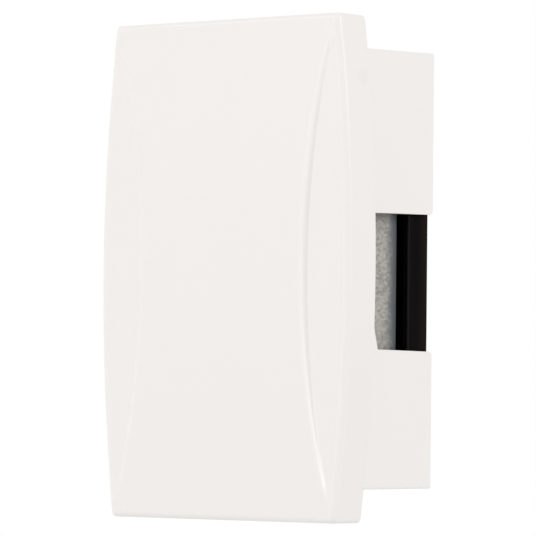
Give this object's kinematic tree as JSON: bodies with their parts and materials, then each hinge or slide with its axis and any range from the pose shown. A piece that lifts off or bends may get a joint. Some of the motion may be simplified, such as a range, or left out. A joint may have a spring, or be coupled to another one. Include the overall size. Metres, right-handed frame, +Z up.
{
  "type": "doorbell chime box",
  "caption": "Wall door chime with a barrel-fronted white cover over a black base that carries a solenoid, its sprung plunger and tuned tone plates seen through side notches.",
  "frame": {"origin": "middle of the wall face at the back of the base", "axes": "+Z up, the front panel faces -Y, +X to the right of someone who faces the chime, +Y into the wall"},
  "size_m": [0.0866, 0.0395, 0.132],
  "materials": {
    "cover_white": "moulded, satin gloss",
    "base_black": "moulded, fine texture",
    "latch_black": "moulded, satin",
    "galvanised_steel": "galvanised, fine speckle",
    "grommet_rubber": "matt",
    "spring_steel": "phosphated",
    "yoke_steel": "zinc plated",
    "screw_steel": "yellow zinc plated",
    "bobbin_nylon": "natural nylon",
    "enamelled_copper": "enamelled wire",
    "coil_tape": "polyester tape",
    "tinned_brass": "tinned",
    "lead_red": "wire sleeve",
    "lead_blue": "wire sleeve",
    "core_iron": "turned, zinc plated",
    "striker_nylon": "natural nylon",
    "spring_wire": "drawn wire",
    "block_nylon": "moulded nylon",
    "terminal_brass": "machined"
  },
  "bodies": {
    "base": {"base": "base_black", "cover_latch_top": "latch_black", "cover_latch_bottom": "latch_black", "tone_plate_right": "galvanised_steel", "tone_plate_left": "galvanised_steel", "grommet_right_upper": "grommet_rubber", "grommet_right_lower": "grommet_rubber", "grommet_left_upper": "grommet_rubber", "grommet_left_lower": "grommet_rubber", "retaining_washers": "spring_steel", "yoke": "yoke_steel", "yoke_screws": "screw_steel", "bobbin": "bobbin_nylon", "coil_winding": "enamelled_copper", "coil_tape": "coil_tape", "solder_tags": "tinned_brass", "coil_lead_left": "lead_red", "coil_lead_right": "lead_blue", "return_spring": "spring_wire", "terminal_block": "block_nylon", "terminal_sleeve_left": "terminal_brass", "terminal_sleeve_right": "terminal_brass", "terminal_screws": "screw_steel", "block_screw": "screw_steel"},
    "plunger": {"plunger_core": "core_iron", "striker_left": "striker_nylon", "striker_right": "striker_nylon", "plunger_clip": "spring_steel"},
    "cover": {"cover": "cover_white"}
  },
  "joints": [
    {"name": "plunger_slide", "type": "slide", "parent": "base", "child": "plunger", "axis": [1, 0, 0], "range_m": [-0.0029, 0.0039], "stiffness_N_per_m": 40, "deforming": ["return_spring"]},
    {"name": "cover_pull", "type": "slide", "parent": "base", "child": "cover", "axis": [0, -1, 0], "range_m": [0, 0.06], "deforming": ["cover_latch_top", "cover_latch_bottom"]}
  ]
}
